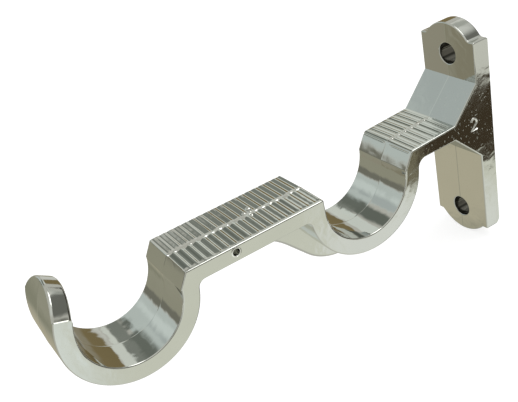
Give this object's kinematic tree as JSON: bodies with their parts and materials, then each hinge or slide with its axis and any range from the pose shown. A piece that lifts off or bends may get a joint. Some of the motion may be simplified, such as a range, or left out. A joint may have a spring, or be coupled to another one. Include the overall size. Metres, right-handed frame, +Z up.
{
  "type": "curtain pole bracket",
  "caption": "Cast wall bracket that carries two curtain poles in open cups joined by a ribbed bar, with a screw plate for the wall.",
  "frame": {"origin": "on the wall face, at mid width, level with the top of the bar between the cups", "axes": "+X across the width, -Y out of the wall into the room, +Z up"},
  "size_m": [0.0213, 0.1363, 0.0683],
  "materials": {
    "chrome_plate": "bright chrome plate over a slightly uneven casting"
  },
  "bodies": {
    "root": {"bracket": "chrome_plate"}
  },
  "joints": []
}
